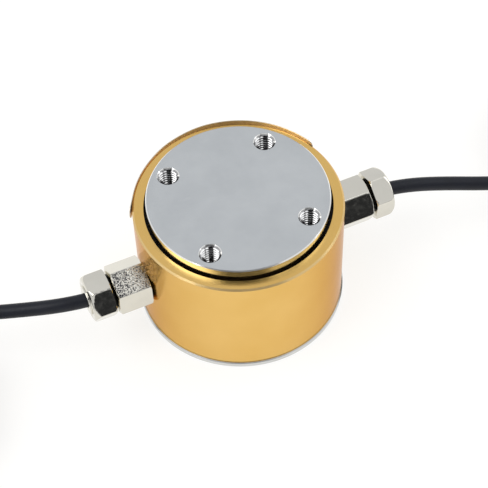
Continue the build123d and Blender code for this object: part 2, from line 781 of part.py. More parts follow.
os.makedirs("parts", exist_ok=True)
save("base_plate", make_base_plate())
save("outer_sleeve", make_outer_sleeve())
save("load_plate", make_load_plate())
save("measuring_body", make_measuring_body())
save("hub_screws", make_hub_screws())
save("hub_dowels", make_hub_dowels())
save("body_screws", make_body_screws())
save("sleeve_screws", make_sleeve_screws())
save("base_ring", make_base_ring())
save("gap_seal", make_gap_seal())
save("rear_strip", make_rear_strip())
save("terminal_board", make_board())
save("board_screws", make_board_screws())
save("board_resistors", make_resistors())
save("vertical_gauges", make_vertical_gauges())
save("lateral_gauges", make_lateral_gauges())
save("gauge_wires", make_gauge_wires())
save_cable("left", -1, left_body_turn, left_nut_turn, left_route)
save_cable("right", 1, right_body_turn, right_nut_turn, right_route)
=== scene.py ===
import bmesh
import bpy
import json
from math import atan2, cos, hypot, pi, radians, sin, sqrt
from mathutils import Matrix, Vector


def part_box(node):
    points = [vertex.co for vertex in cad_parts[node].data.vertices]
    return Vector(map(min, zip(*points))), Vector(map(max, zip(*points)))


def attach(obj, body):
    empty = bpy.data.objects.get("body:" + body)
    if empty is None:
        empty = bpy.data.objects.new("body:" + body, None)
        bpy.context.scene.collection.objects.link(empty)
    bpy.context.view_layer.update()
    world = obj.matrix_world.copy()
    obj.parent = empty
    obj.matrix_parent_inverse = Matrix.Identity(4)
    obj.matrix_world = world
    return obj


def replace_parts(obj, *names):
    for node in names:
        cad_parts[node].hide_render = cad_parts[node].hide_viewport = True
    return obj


# A round multi-axis force sensor. Metres, Z up, glands along X. Lengths in the dictionaries are in
# millimetres and angles in degrees, apart from the studio's, which are in metres.

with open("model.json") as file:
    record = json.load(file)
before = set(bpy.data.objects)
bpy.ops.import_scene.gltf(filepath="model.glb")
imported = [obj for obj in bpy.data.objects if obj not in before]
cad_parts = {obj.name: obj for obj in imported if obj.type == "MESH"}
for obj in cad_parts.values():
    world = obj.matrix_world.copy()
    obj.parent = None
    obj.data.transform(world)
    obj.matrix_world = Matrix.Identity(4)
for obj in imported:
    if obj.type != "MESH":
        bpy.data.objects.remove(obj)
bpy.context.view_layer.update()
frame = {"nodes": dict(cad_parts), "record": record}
nodes = frame["nodes"]
mm = 0.001
body = "root"
newPieces = {}  # the name of each piece made here, with its finish


def linear(hexColour):
    # sRGB hex to linear RGBA
    shades = [int(hexColour[i:i + 2], 16) / 255 for i in (1, 3, 5)]
    return tuple(s / 12.92 if s <= 0.04045 else ((s + 0.055) / 1.055) ** 2.4 for s in shades) + (1.0,)


def feed(tree, node, inputs):
    # Each input gets a fixed value, or a link from a socket or from the first output that a node has in use
    for name, value in inputs.items():
        if isinstance(value, bpy.types.Node):
            value = next(output for output in value.outputs if output.enabled)
        if isinstance(value, bpy.types.NodeSocket):
            tree.links.new(value, node.inputs[name])
        else:
            node.inputs[name].default_value = value
    return node


def addNode(tree, kind, inputs={}, **settings):
    # Adds one shader node with its settings and its inputs
    node = tree.nodes.new("ShaderNode" + kind)
    for name, value in settings.items():
        setattr(node, name, value)
    return feed(tree, node, inputs)


def joinPiece(piece, slot, finish=None):
    # Makes a new object a piece of the sensor, with its slot's finish unless another one is named
    bpy.context.collection.objects.link(piece)
    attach(piece, body)
    newPieces[piece.name] = finish or slot
    return piece


# The camera stands in front and a little to the left, above the sensor
camera = {
    "azimuth": -22.6, "elevation": 53.246, "roll": -1.992, "distance": 465.56, "aimRight": -0.80,
    "aimUp": -11.21, "lens": 114.05, "sensor": 36.0, "nearest": 10.0, "furthest": 20000.0,
}


def placeCamera(spec):
    tilt, lean = radians(spec["elevation"]), radians(spec["roll"])
    turn = Matrix.Rotation(radians(spec["azimuth"]), 3, "Z")
    forward = turn @ Vector((0, cos(tilt), -sin(tilt)))
    level = turn @ Vector((1, 0, 0))
    up = level.cross(forward)
    right = level * cos(lean) + up * sin(lean)
    top = up * cos(lean) - level * sin(lean)
    place = (-forward * spec["distance"] - right * spec["aimRight"] - top * spec["aimUp"]) * mm
    lens = bpy.data.cameras.new("camera")
    lens.lens, lens.sensor_width = spec["lens"], spec["sensor"]
    lens.clip_start, lens.clip_end = spec["nearest"] * mm, spec["furthest"] * mm
    eye = bpy.data.objects.new("camera", lens)
    axes = Matrix((right, top, -forward)).transposed()
    eye.matrix_world = Matrix.Translation(place) @ axes.to_4x4()
    bpy.context.collection.objects.link(eye)
    bpy.context.scene.camera = eye


placeCamera(camera)
print("camera placed")

# Cables. The routes are the ones that the solids follow, and the turns of each coil go on from there.
cable = {"diameter": 4.25, "leadIn": 2.0, "stiffness": "medium", "resolution": 4, "sides": 6}
coil = {
    "meanRadius": 23.0, "turnsWide": 3, "turnsHigh": 4, "seat": 0.8, "stubLength": 20.0,
    "tangentRadius": 27.0, "tailLength": 23.5, "tailHeight": 2.99, "stepAngle": 22.5, "firstSteps": 12,
}
cables = {
    "left": {
        "route": [(-48.0, 0.0, 19.1), (-56.0, 1.8, 18.8), (-65.0, 5.8, 17.2), (-75.0, 10.1, 16.1),
                  (-84.0, 14.0, 15.8)],
        "turns": 11, "exitAzimuth": 90.0,
    },
    "right": {
        "route": [(48.0, 0.0, 19.1), (56.4, -1.5, 18.4), (66.0, -4.2, 16.9), (76.5, -8.4, 15.9),
                  (87.6, -12.8, 15.8), (95.0, -16.1, 15.7)],
        "turns": 11, "exitAzimuth": 270.0,
    },
}
cores = {  # each route is along, to the left of and above the cut end of the jacket
    "diameter": 0.9, "resolution": 6, "sides": 3,
    "routes": {
        "red": [(0.1, 1.15, 0.0), (7.5, 2.3, -0.9), (18.0, 5.6, -2.45), (30.5, 9.6, -2.45)],
        "black": [(0.1, 0.575, 0.996), (7.5, 1.1, 0.4), (18.0, 3.7, -2.45), (31.5, 6.2, -2.45)],
        "green": [(0.1, -0.575, 0.996), (7.5, -1.2, 0.4), (18.0, -2.3, -2.45), (31.0, -3.0, -2.45)],
        "white": [(0.1, -1.15, 0.0), (7.5, -2.2, -0.9), (18.0, -4.0, -2.45), (30.0, -5.4, -2.45)],
        "yellow": [(0.1, -0.575, -0.996), (7.5, -0.7, -1.6), (18.0, -0.4, -2.45), (30.5, 0.2, -2.45)],
        "blue": [(0.1, 0.575, -0.996), (7.5, 0.8, -1.6), (18.0, 1.6, -2.45), (31.5, 3.2, -2.45)],
    },
}


def onCircle(centre, radius, azimuth, height):
    return Vector((centre.x + radius * cos(azimuth), centre.y + radius * sin(azimuth), height))


def coilFrame(route):
    # Centre of the coil and the azimuth at which the cable meets its outer turn
    forward = (Vector(route[-1]) - Vector(route[-2])).normalized()
    inwards = Vector((-forward.y, forward.x, 0)).normalized()
    centre = Vector(route[-1]) + forward * coil["stubLength"] + inwards * coil["tangentRadius"]
    return Vector((centre.x, centre.y, 0)), atan2(-inwards.y, -inwards.x)


def coilPlaces():
    # Radius and height of each turn, from the top outer one down to the bottom outer one
    d = cable["diameter"]
    middle = (coil["turnsWide"] - 1) / 2
    places = []
    for layer in range(coil["turnsHigh"]):
        radii = [coil["meanRadius"] + (middle - k) * d for k in range(coil["turnsWide"])]
        height = coil["seat"] + (coil["turnsHigh"] - layer - 0.5) * d
        places += [(r, height) for r in (radii if layer % 2 == 0 else reversed(radii))]
    return places


def coilPoints(route, wholeTurns, exitAngle):
    # One turn after the other, each a step shorter where the next one has to make room for it
    centre, entry = coilFrame(route)
    sweep = (exitAngle - entry) % (2 * pi) + 2 * pi * wholeTurns
    count = round(sweep / radians(coil["stepAngle"]))
    step = sweep / count
    perTurn = round(2 * pi / step)
    places = coilPlaces()
    changes = [coil["firstSteps"]]
    for before, after in zip(places[1:], places[2:]):
        climbs = before[1] != after[1] or places[places.index(before) - 1][1] != before[1]
        changes.append(changes[-1] + perTurn - (1 if climbs else 0))
    points = []
    for k in range(count):
        turn = sum(1 for c in changes if k >= c)
        radius, height = places[turn]
        points.append(onCircle(centre, radius / cos(step / 2), entry + (k + 0.5) * step, height))
    return points


def tailFrame(route, azimuth):
    # Where the cable leaves the lowest turn: its start, its direction and its left side
    start = onCircle(coilFrame(route)[0], coil["tangentRadius"], azimuth, coil["tailHeight"])
    along = Vector((-sin(azimuth), cos(azimuth), 0))
    return start, along, Vector((-along.y, along.x, 0))


def smoothCord(name, slot, points, spec):
    shape = bpy.data.curves.new(name, "CURVE")
    shape.dimensions = "3D"
    shape.resolution_u = spec["resolution"]
    shape.bevel_depth = 1  # each point's radius gives the thickness, so that the curve's box stays tight
    shape.bevel_resolution = spec["sides"]
    shape.use_fill_caps = True
    spline = shape.splines.new("NURBS")
    spline.points.add(len(points) - 1)
    for spot, place in zip(spline.points, points):
        spot.co = (place[0] * mm, place[1] * mm, place[2] * mm, 1)
        spot.radius = spec["diameter"] / 2 * mm
    spline.order_u = 3
    spline.use_endpoint_u = True
    return joinPiece(bpy.data.objects.new(name, shape), slot)


def splineLength(piece):
    # Length of the cord's own line, in metres
    bare = piece.data.copy()
    bare.bevel_depth = 0
    stand = bpy.data.objects.new("measure", bare)
    bpy.context.collection.objects.link(stand)
    bpy.context.view_layer.update()
    line = bpy.data.meshes.new_from_object(stand.evaluated_get(bpy.context.evaluated_depsgraph_get()))
    spots = [v.co for v in line.vertices]
    length = sum((b - a).length for a, b in zip(spots, spots[1:]))
    bpy.data.objects.remove(stand)
    bpy.data.curves.remove(bare)
    bpy.data.meshes.remove(line)
    return length


def makeCable(side):
    route = cables[side]["route"]
    outwards = -1 if side == "left" else 1
    leadIn = (route[0][0] - outwards * cable["leadIn"], route[0][1], route[0][2])
    exitAngle = radians(cables[side]["exitAzimuth"])
    tailStart, along, leftwards = tailFrame(route, exitAngle)
    jacketEnd = tailStart + along * coil["tailLength"]
    points = [leadIn] + route + coilPoints(route, cables[side]["turns"], exitAngle) + [jacketEnd]
    cord = smoothCord(f"{side}_cable_line", "cable_jacket", points, cable)
    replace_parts(cord, f"{side}_cable", f"{side}_cable_coil")
    length = splineLength(cord)
    print(side, "cable", round(length, 3), "m")
    for colour, core in cores["routes"].items():
        places = [jacketEnd + along * a + leftwards * left + Vector((0, 0, up)) for a, left, up in core]
        wire = smoothCord(f"{side}_{colour}_core_line", f"core_{colour}_jacket", places, cores)
        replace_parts(wire, f"{side}_core_{colour}")
        round(splineLength(wire), 4)


for side in cables:
    makeCable(side)
print("cables laid")


def arcThrough(a, b, c, steps):
    # Points from a to c on the arc through b, without a itself
    d = 2 * (a[0] * (b[1] - c[1]) + b[0] * (c[1] - a[1]) + c[0] * (a[1] - b[1]))
    squares = [p[0] ** 2 + p[1] ** 2 for p in (a, b, c)]
    x = (squares[0] * (b[1] - c[1]) + squares[1] * (c[1] - a[1]) + squares[2] * (a[1] - b[1])) / d
    y = (squares[0] * (c[0] - b[0]) + squares[1] * (a[0] - c[0]) + squares[2] * (b[0] - a[0])) / d
    radius = hypot(a[0] - x, a[1] - y)
    start, middle, end = [atan2(p[1] - y, p[0] - x) for p in (a, b, c)]
    turn = (end - start) % (2 * pi)
    if (middle - start) % (2 * pi) > turn:
        turn -= 2 * pi
    angles = [start + turn * k / steps for k in range(1, steps + 1)]
    return [(x + radius * cos(w), y + radius * sin(w)) for w in angles]


def spread(start, end, steps):
    # Values from start to end, both included
    return [start + (end - start) * k / steps for k in range(steps + 1)]


def softMin(a, b, blend):
    # The smaller of two sizes, with the edge between them rounded
    share = max(blend - abs(a - b), 0) / blend
    return min(a, b) - blend * share ** 2 / 4


def threadRise(phase):
    # Height of a metric thread's flank, from 0 in the root to 1 on the crest: flat, slope, flat, slope
    root, slope, crest = 0.125, 0.3125, 0.25
    phase = phase % 1
    if phase < root:
        return 0.0
    if phase < root + slope:
        return (phase - root) / slope
    if phase < root + slope + crest:
        return 1.0
    return (1 - phase) / slope


def ringFaces(rings, count, closed):
    # Four-sided faces between rings of points, and back to the first ring if they close
    faces = []
    for ring in range(rings if closed else rings - 1):
        low, high = ring * count, (ring + 1) % rings * count
        faces += [[low + k, low + (k + 1) % count, high + (k + 1) % count, high + k] for k in range(count)]
    return faces


def addMesh(name, places, faces, slot, smoothAngle, finish=None):
    # A new piece from points in millimetres, with sharp edges only above the angle
    mesh = bpy.data.meshes.new(name)
    mesh.from_pydata([tuple(c * mm for c in place) for place in places], [], faces)
    shape = bmesh.new()
    shape.from_mesh(mesh)
    bmesh.ops.recalc_face_normals(shape, faces=shape.faces)
    shape.to_mesh(mesh)
    shape.free()
    mesh.shade_smooth()
    mesh.set_sharp_from_angle(angle=radians(smoothAngle))
    return joinPiece(bpy.data.objects.new(name, mesh), slot, finish)


# The threads of the mounting holes: each is a thin threaded wall inside its bore, cut by the countersink
holeThread = {
    "spacing": 30.0, "pitch": 1.0, "wallRadius": 2.992, "rootRadius": 2.985, "crestRadius": 2.46,
    "sinkRadius": 3.2, "mouth": 0.22, "plateDepth": 8.0, "baseDepth": 7.0, "columns": 48, "rowsPerTurn": 10,
    "slopeShares": (0.0, 0.125, 0.2031, 0.2812, 0.3594, 0.4375, 0.6875, 0.7656, 0.8437, 0.9219),
    "nearEnd": 1e-6, "smoothAngle": 24.0,
}


def threadedWall(centre, face, inwards, depth, firstVertex):
    # One threaded wall, from just below the face that it opens in. Its rows climb with the helix.
    spec = holeThread
    low, high = sorted((face + inwards * spec["mouth"], face + inwards * depth))
    columns, pitch, perTurn, root = spec["columns"], spec["pitch"], spec["rowsPerTurn"], spec["rootRadius"]
    turns = int((high - low) / pitch) + 2
    places, faces, numbers = [], [], {}

    def number(column, level):
        # The vertex at this place of the inner side's grid, with rows beyond an end laid on that end
        column, level = column % columns, level + perTurn * (column // columns)
        turn, step = divmod(level, perTurn)
        height = low + (turn + spec["slopeShares"][step] - 1 + column / columns) * pitch
        key = (column, level)
        if height <= low + spec["nearEnd"]:
            height, key = low, (column, "low")
        elif height >= high - spec["nearEnd"]:
            height, key = high, (column, "high")
        if key not in numbers:
            turnShare = (height - low) / pitch + 1 - column / columns
            radius = root - (root - spec["crestRadius"]) * threadRise(turnShare)
            radius = min(max(radius, spec["sinkRadius"] - abs(height - face)), root)
            angle = 2 * pi * column / columns
            numbers[key] = firstVertex + len(places)
            places.append((centre[0] + radius * cos(angle), centre[1] + radius * sin(angle), height))
        return numbers[key]

    for column in range(columns):
        for level in range(turns * perTurn):
            ring = [number(column, level), number(column + 1, level),
                    number(column + 1, level + 1), number(column, level + 1)]
            corners = [c for k, c in enumerate(ring) if c != ring[k - 1]]
            if len(set(corners)) > 2:
                faces.append(corners)
    outer = {}
    for column in range(columns):
        angle = 2 * pi * column / columns
        x, y = centre[0] + spec["wallRadius"] * cos(angle), centre[1] + spec["wallRadius"] * sin(angle)
        for end, height in (("low", low), ("high", high)):
            outer[column, end] = firstVertex + len(places)
            places.append((x, y, height))
    for column in range(columns):
        after = (column + 1) % columns
        faces.append([outer[column, "low"], outer[after, "low"], outer[after, "high"], outer[column, "high"]])
        for end in ("low", "high"):
            faces.append([numbers[column, end], numbers[after, end], outer[after, end], outer[column, end]])
    return places, faces


def makeHoleThreads(name, slot, face, inwards, depth):
    places, faces = [], []
    half = holeThread["spacing"] / 2
    for x in (-half, half):
        for y in (-half, half):
            more, sides = threadedWall((x, y), face, inwards, depth, len(places))
            places += more
            faces += sides
    addMesh(name, places, faces, slot, holeThread["smoothAngle"], "threads")


# The glands. Lengths run outwards from the sensor's axis, radii from the gland's own axis.
gland = {
    "axisHeight": 19.1, "acrossFlats": 13.0, "cornerFillet": 0.3, "edgeBlend": 0.12, "boreRadius": 2.325,
    "start": 23.2, "stubRadius": 4.0, "sleeveRadius": 30.0, "bodyChamfer": 0.7, "footBand": 1.0,
    "neckRadius": 5.0, "neckEnd": 45.0, "neckPitch": 1.0, "neckDepth": 0.5, "neckGroove": 0.3, "runOut": 0.1,
    "sealRadius": 3.7, "sealStart": 42.0, "sealEnd": 46.2, "sealNose": 2.5, "washerSlant": 0.8485,
    "nutEnd": 48.0, "nutHexEnd": 45.6, "nutFaceRadius": 4.3, "nutChamfer": 0.5, "nutFront": 0.8,
    "nutBand": 0.6, "domeBand": 0.4, "domeBulge": 0.8, "clearance": 0.05, "lipRound": 0.25,
    "smoothAngle": 28.0, "bodySteps": 6, "chamferSteps": 14, "threadSteps": 50, "nutSteps": 4,
    "domeSteps": 26, "lipSteps": 4,
}
glandTurns = {  # a flat's angle above the front, where each body ends, and how far its nut was screwed on
    "left": {"body": 3.0, "nut": 32.0, "bodyEnd": 40.2, "nutStart": 40.9},
    "right": {"body": 33.0, "nut": -5.0, "bodyEnd": 40.7, "nutStart": 41.5},
}
halfSide = 30  # degrees from a corner of the hexagon to the middle of a flat
cornerSteps = (0.0, 0.5, 1.0, 1.6, 5.0, 12.0, 20.0)  # degrees from a corner, on the way there


def hexagonRadius(degreesFromCorner):
    # Radius of the rounded hexagon at an angle from its corner
    rounding, inner, half = gland["cornerFillet"], gland["acrossFlats"] / 2, radians(halfSide)
    distance = (inner - rounding) / cos(half)
    edge = atan2(rounding * sin(half), distance + rounding * cos(half))
    angle = radians(abs(degreesFromCorner))
    if angle < edge:
        return distance * cos(angle) + sqrt(rounding ** 2 - (distance * sin(angle)) ** 2)
    return inner / cos(half - angle)


def hexagonColumns():
    # Angles round the gland, counted from the middle of a flat, with their distance from the nearest corner
    columns = []
    for corner in range(6):
        middle = (2 * corner + 1) * halfSide
        columns += [(middle - step, step) for step in reversed(cornerSteps[1:])]
        columns += [(middle + step, step) for step in cornerSteps]
        columns.append((middle + halfSide, halfSide))
    return columns


def makeGlandPiece(name, side, flatAngle, rows, replaced):
    # Rows are (length, radius, form), where the form is round, hexagon or thread
    out = -1 if side == "left" else 1
    places = []
    columns = hexagonColumns()
    for length, radius, form in rows:
        for angle, fromCorner in columns:
            w = radians(angle + flatAngle)
            r = radius
            if form == "hexagon":
                r = softMin(radius, hexagonRadius(fromCorner), gland["edgeBlend"])
            elif form == "thread":
                turns = (length + out * gland["neckPitch"] * w / (2 * pi)) / gland["neckPitch"]
                r = radius - gland["neckDepth"] * (1 - threadRise(turns))
            places.append((out * length, -r * cos(w), gland["axisHeight"] + r * sin(w)))
    faces = ringFaces(len(rows), len(columns), True)
    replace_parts(addMesh(name, places, faces, "nickel_plate", gland["smoothAngle"]), replaced)


def formed(form, pairs):
    # Rows of one form from their lengths and radii
    return [(length, radius, form) for length, radius in pairs]


def bodyRows(bodyEnd):
    # From the bore over the stub in the sleeve, along the hexagon and the neck's thread, and back inside
    g = gland
    corner, root = g["acrossFlats"] / sqrt(3), g["neckRadius"] - g["neckDepth"]
    c, foot, neckStart = g["bodyChamfer"], g["sleeveRadius"], bodyEnd + g["neckGroove"]
    slope = spread(bodyEnd - c, bodyEnd, g["chamferSteps"])[1:]
    thread = spread(neckStart + g["runOut"], g["neckEnd"] - g["runOut"], g["threadSteps"])
    return (
        formed("round", [(g["start"], g["boreRadius"]), (g["start"], g["stubRadius"]),
                         (foot, g["stubRadius"])])
        + formed("hexagon", [(foot, corner - c / 2), (foot + c / 4, corner)])
        + formed("hexagon", [(s, corner) for s in spread(foot + g["footBand"], bodyEnd - c, g["bodySteps"])])
        + formed("hexagon", [(s, corner - 2 * (s - bodyEnd + c)) for s in slope])
        + formed("round", [(bodyEnd, root), (neckStart, root)])
        + formed("thread", [(s, g["neckRadius"]) for s in thread])
        + formed("round", [(g["neckEnd"], root), (g["neckEnd"], g["sealRadius"]),
                           (g["sealStart"], g["sealRadius"]), (g["sealStart"], g["boreRadius"])]))


def nutRows(start):
    # From the thread over the hexagon and the dome to the lip at the cable, and back inside
    g = gland
    corner, threadRadius = g["acrossFlats"] / sqrt(3), g["neckRadius"] + g["clearance"]
    c, hexEnd, lip, bore = g["nutChamfer"], g["nutHexEnd"], g["lipRound"], g["boreRadius"]
    front, face, lipStart = g["nutEnd"] - g["nutFront"], g["nutFaceRadius"], g["nutEnd"] - lip
    noseEnd = g["sealEnd"] + g["washerSlant"]
    flats = spread(start + g["nutBand"], hexEnd - g["domeBand"], g["nutSteps"])
    middle = ((corner + face) / 2 + g["domeBulge"], (hexEnd + front) / 2 + g["domeBulge"])
    dome = arcThrough((corner, hexEnd), middle, (face, front), g["domeSteps"])
    outer, inner = spread(pi / 10, pi / 2, g["lipSteps"]), spread(pi / 2, 0, g["lipSteps"])
    return (
        formed("round", [(start, threadRadius), (start, corner - c - g["nutBand"])])
        + formed("hexagon", [(start, corner - c), (start + c / 4, corner - c / 2), (start + c / 2, corner)])
        + formed("hexagon", [(s, corner) for s in flats + [hexEnd]])
        + formed("hexagon", [(s, r) for r, s in dome])
        + formed("round", [(lipStart, face)])
        + formed("round", [(lipStart + lip * sin(w), face - lip + lip * cos(w)) for w in outer])
        + formed("round", [(lipStart + lip * sin(w), bore + lip - lip * cos(w)) for w in inner])
        + formed("round", [(noseEnd, bore), (noseEnd, g["sealNose"]),
                           (g["neckEnd"] + g["washerSlant"], g["sealRadius"]),
                           (g["neckEnd"], g["sealRadius"]), (g["neckEnd"], threadRadius)]))


for side, spec in glandTurns.items():
    for name, finer, rows in (
            ("body", "faceted", bodyRows(spec["bodyEnd"])), ("nut", "domed", nutRows(spec["nutStart"]))):
        makeGlandPiece(f"{side}_gland_{name}_{finer}", side, spec[name], rows, f"{side}_gland_{name}")
print("glands made")
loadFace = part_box("load_plate")[1].z / mm
makeHoleThreads("load_plate_threads", "ground_steel", loadFace, -1, holeThread["plateDepth"])
makeHoleThreads("base_plate_threads", "turned_steel", 0.0, 1, holeThread["baseDepth"])
print("threads cut")

# The bare strip behind the load plate: bent round the sleeve, with a top edge that isn't quite level
strip = {
    "innerRadius": 30.0, "thickness": 0.25, "height": 5.8, "start": 27.0, "end": 149.0, "startTail": 3.4,
    "endTail": 6.0, "cornerRadius": 1.8, "step": 0.45, "rows": 10, "edgeRound": 0.06, "smoothAngle": 40.0,
    "topDrop": [(0.0, 0.75), (0.15, 0.6), (0.45, 0.6), (0.62, 0.95), (0.78, 1.55), (0.9, 1.75), (1.0, 1.5)],
}


def between(pairs, x):
    # Smooth value between the pairs (x, value)
    for (x0, v0), (x1, v1) in zip(pairs, pairs[1:]):
        if x <= x1:
            t = max(0.0, (x - x0) / (x1 - x0))
            return v0 + (v1 - v0) * t * t * (3 - 2 * t)
    return pairs[-1][1]


def makeStrip():
    spec = strip
    r = spec["innerRadius"]
    arc = r * radians(spec["end"] - spec["start"])
    total = spec["startTail"] + arc + spec["endTail"]
    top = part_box("rear_strip")[1].z / mm
    bottom = top - spec["height"]
    count = round(total / spec["step"])
    corner, depth, soft, rows = spec["cornerRadius"], spec["thickness"], spec["edgeRound"], spec["rows"]
    places = []
    # Round the section of the sheet at each step: up the inner side, over the edge and down the outer side
    for k in range(count + 1):
        u = min(max(total * k / count, soft / 4), total - soft / 4)
        angle = radians(spec["start"]) + min(max(u - spec["startTail"], 0), arc) / r
        along = min(u - spec["startTail"], 0) + max(u - spec["startTail"] - arc, 0)
        cut = corner - sqrt(max(corner ** 2 - max(corner - min(u, total - u), 0) ** 2, 0))
        high, low = top - between(spec["topDrop"], u / total) - cut, bottom + cut
        tall = high - low - 2 * soft
        section = [(soft, low), (0.0, low + soft)]
        section += [(0.0, low + soft + tall * j / rows) for j in range(1, rows)]
        section += [(0.0, high - soft), (soft, high), (depth - soft, high), (depth, high - soft)]
        section += [(depth, high - soft - tall * j / rows) for j in range(1, rows)]
        section += [(depth, low + soft), (depth - soft, low)]
        for away, z in section:
            places.append(((r + away) * cos(angle) - along * sin(angle),
                           (r + away) * sin(angle) + along * cos(angle), z))
    ring = len(section)
    faces = ringFaces(count + 1, ring, False)
    faces += [list(range(ring)), [count * ring + j for j in reversed(range(ring))]]
    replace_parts(addMesh("rear_strip_bent", places, faces, "strip_foil", spec["smoothAngle"]), "rear_strip")


makeStrip()
print("strip bent")

# Floor and light: a white sweep and a bright room, with darker places in front and above, where the camera
# and the lamps hang. These sizes are in metres, and the darker places are set in degrees.
studio = {
    "floorSize": 6.0, "floorColour": "#959594", "floorGlow": 0.74, "glowColour": "#fffefc",
    "floorRoughness": 0.9, "floorSpecular": 0.1, "skyColour": "#fbfcff", "skyStrength": 0.84,
    "seenColour": "#ffffff", "seenStrength": 1.0, "darkColour": "#343537",
    "darks": [  # the camera's arm, a lamp rail and an open doorway
        {"azimuth": 238.0, "halfWidth": 45.0, "low": 51.0, "high": 72.0, "soft": 3.0, "share": 1.0},
        {"azimuth": 247.0, "halfWidth": 42.0, "low": 32.5, "high": 38.0, "soft": 2.0, "share": 0.85},
        {"azimuth": 286.5, "halfWidth": 10.0, "low": -9.0, "high": 11.0, "soft": 4.0, "share": 1.0},
    ],
    "aim": (0, 0, 0.02),
    "lights": [
        {"name": "key light", "place": (-0.85, 0.02, 1.05), "size": (1.0, 0.8), "power": 7.0},
        {"name": "right light", "place": (1.0, -0.1, 0.8), "size": (0.9, 0.8), "power": 3.6},
        {"name": "front light", "place": (0.36, -0.63, 1.31), "size": (0.4, 0.3), "power": 0.5},
    ],
}
colourA, colourB = 6, 7  # the Mix node's inputs for colours
flat = (1, 1, 0)  # keeps the X and Y of a place or direction


def makeFloor():
    half = studio["floorSize"] / 2
    corners = [(-half, -half, 0), (half, -half, 0), (half, half, 0), (-half, half, 0)]
    sheet = bpy.data.meshes.new("floor")
    sheet.from_pydata(corners, [], [(0, 1, 2, 3)])
    ground = bpy.data.objects.new("floor", sheet)
    bpy.context.collection.objects.link(ground)
    paper = bpy.data.materials.new("matt white paper")  # even and nearly shadowless, with hardly any shine
    paper.use_nodes = True
    feed(paper.node_tree, paper.node_tree.nodes["Principled BSDF"], {
        "Base Color": linear(studio["floorColour"]), "Roughness": studio["floorRoughness"],
        "Specular IOR Level": studio["floorSpecular"], "Emission Color": linear(studio["glowColour"]),
        "Emission Strength": studio["floorGlow"]})
    sheet.materials.append(paper)


def makeSky():
    # The darker places are set by their direction in the room, so they are the same from every side
    sky = bpy.data.worlds.new("studio")
    bpy.context.scene.world = sky
    sky.use_nodes = True
    tree = sky.node_tree
    way = addNode(tree, "TexCoord").outputs["Generated"]
    level = addNode(tree, "VectorMath", {0: way, 1: flat}, operation="MULTIPLY")
    level = addNode(tree, "VectorMath", {0: level}, operation="NORMALIZE")
    height = addNode(tree, "SeparateXYZ", {"Vector": way}).outputs["Z"]
    dark = 0.0
    for spec in studio["darks"]:
        azimuth, half, soft = radians(spec["azimuth"]), spec["halfWidth"], spec["soft"]
        middle = (cos(azimuth), sin(azimuth), 0)
        near = addNode(tree, "VectorMath", {0: level, 1: middle}, operation="DOT_PRODUCT")
        mask = addNode(tree, "MapRange", {
            "Value": near, "From Min": cos(radians(half + soft)), "From Max": cos(radians(half)),
            "To Max": spec["share"]}, interpolation_type="SMOOTHSTEP")
        for inside, outside in ((spec["high"], spec["high"] + soft), (spec["low"], spec["low"] - soft)):
            side = addNode(tree, "MapRange", {
                "Value": height, "From Min": sin(radians(outside)), "From Max": sin(radians(inside))},
                interpolation_type="SMOOTHSTEP")
            mask = addNode(tree, "Math", {0: mask, 1: side}, operation="MULTIPLY")
        dark = addNode(tree, "Math", {0: dark, 1: mask}, operation="MAXIMUM")
    room = addNode(tree, "Mix", {
        0: dark, colourA: linear(studio["skyColour"]), colourB: linear(studio["darkColour"])},
        data_type="RGBA")
    lit = feed(tree, tree.nodes["Background"], {"Color": room, "Strength": studio["skyStrength"]})
    # Seen directly, the room is plain white all round
    plain = addNode(tree, "Background", {
        "Color": linear(studio["seenColour"]), "Strength": studio["seenStrength"]})
    seen = addNode(tree, "LightPath").outputs["Is Camera Ray"]
    both = addNode(tree, "MixShader", {0: seen, 1: lit, 2: plain})
    feed(tree, tree.nodes["World Output"], {"Surface": both})


def makeLights():
    for spec in studio["lights"]:
        lamp = bpy.data.lights.new(spec["name"], "AREA")
        lamp.shape = "RECTANGLE"
        lamp.size, lamp.size_y = spec["size"]
        lamp.energy = spec["power"]
        holder = bpy.data.objects.new(spec["name"], lamp)
        holder.location = spec["place"]
        away = Vector(spec["place"]) - Vector(studio["aim"])
        holder.rotation_euler = away.to_track_quat("Z", "Y").to_euler()
        bpy.context.collection.objects.link(holder)


makeFloor()
makeSky()
makeLights()
bpy.context.scene.view_settings.view_transform = "Standard"
print("floor and lights placed")

# Finishes. Their patterns are in millimetres, measured on the piece itself.
noiseSpan, fullSpan = (0.3, 0.7), (0.0, 1.0)  # where nearly all values of a noise, or of lines, lie
chamfer = {"slope": 0.707, "width": 0.2}  # the height of a chamfer's normal, and how near a face comes to it


def startFinish(name, fixed):
    # A finish with its fixed shader values, and the piece's own coordinates in millimetres
    material = bpy.data.materials.new(name)
    material.use_nodes = True
    tree = material.node_tree
    shader = feed(tree, tree.nodes["Principled BSDF"], fixed)
    place = addNode(tree, "TexCoord").outputs["Object"]
    spot = addNode(tree, "VectorMath", {0: place, 1: (1 / mm, 1 / mm, 1 / mm)}, operation="MULTIPLY")
    return material, tree, shader, spot


def twoShades(tree, spot, deep, pale, size, detail=4.0, roughness=0.5):
    # A colour that wanders between two shades in patches of one size, and the pattern of the patches
    patches = addNode(tree, "TexNoise", {
        "Vector": spot, "Scale": 1 / size, "Detail": detail, "Roughness": roughness})
    colour = addNode(tree, "Mix", {0: patches, colourA: linear(deep), colourB: linear(pale)},
                     data_type="RGBA")
    return colour, patches


def paint(tree, shader, colour, layers=()):
    # The base colour under the layers, each a shade with the mask that it shows through
    for shade, mask in layers:
        colour = addNode(tree, "Mix", {0: mask, colourA: colour, colourB: linear(shade)}, data_type="RGBA")
    feed(tree, shader, {"Base Color": colour})


